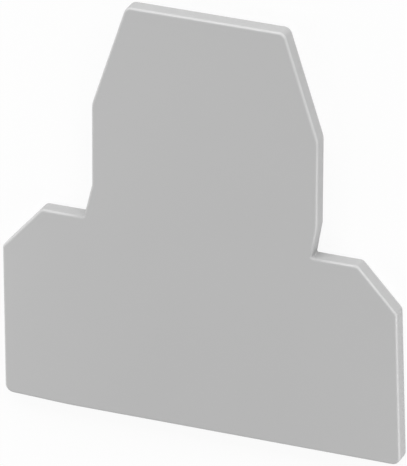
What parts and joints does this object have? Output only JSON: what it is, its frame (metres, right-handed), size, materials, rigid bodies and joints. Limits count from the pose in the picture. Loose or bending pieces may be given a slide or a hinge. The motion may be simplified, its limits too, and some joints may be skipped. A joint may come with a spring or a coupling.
{
  "type": "terminal block spacer plate",
  "caption": "Thin flat moulded plastic plate with a tapered tower on a wider foot, set between stepped rail terminals as a spacer or partition.",
  "frame": {"origin": "middle of the outline's bounding box, on the back face that the plate lies on", "axes": "+Z out of the front face, through the thickness; +Y from the foot edge to the top of the tower; +X to the right, seen on the front face"},
  "size_m": [0.056, 0.059, 0.0025],
  "materials": {
    "grey_plastic": "fine satin, as moulded"
  },
  "bodies": {
    "root": {"spacer_plate": "grey_plastic"}
  },
  "joints": []
}
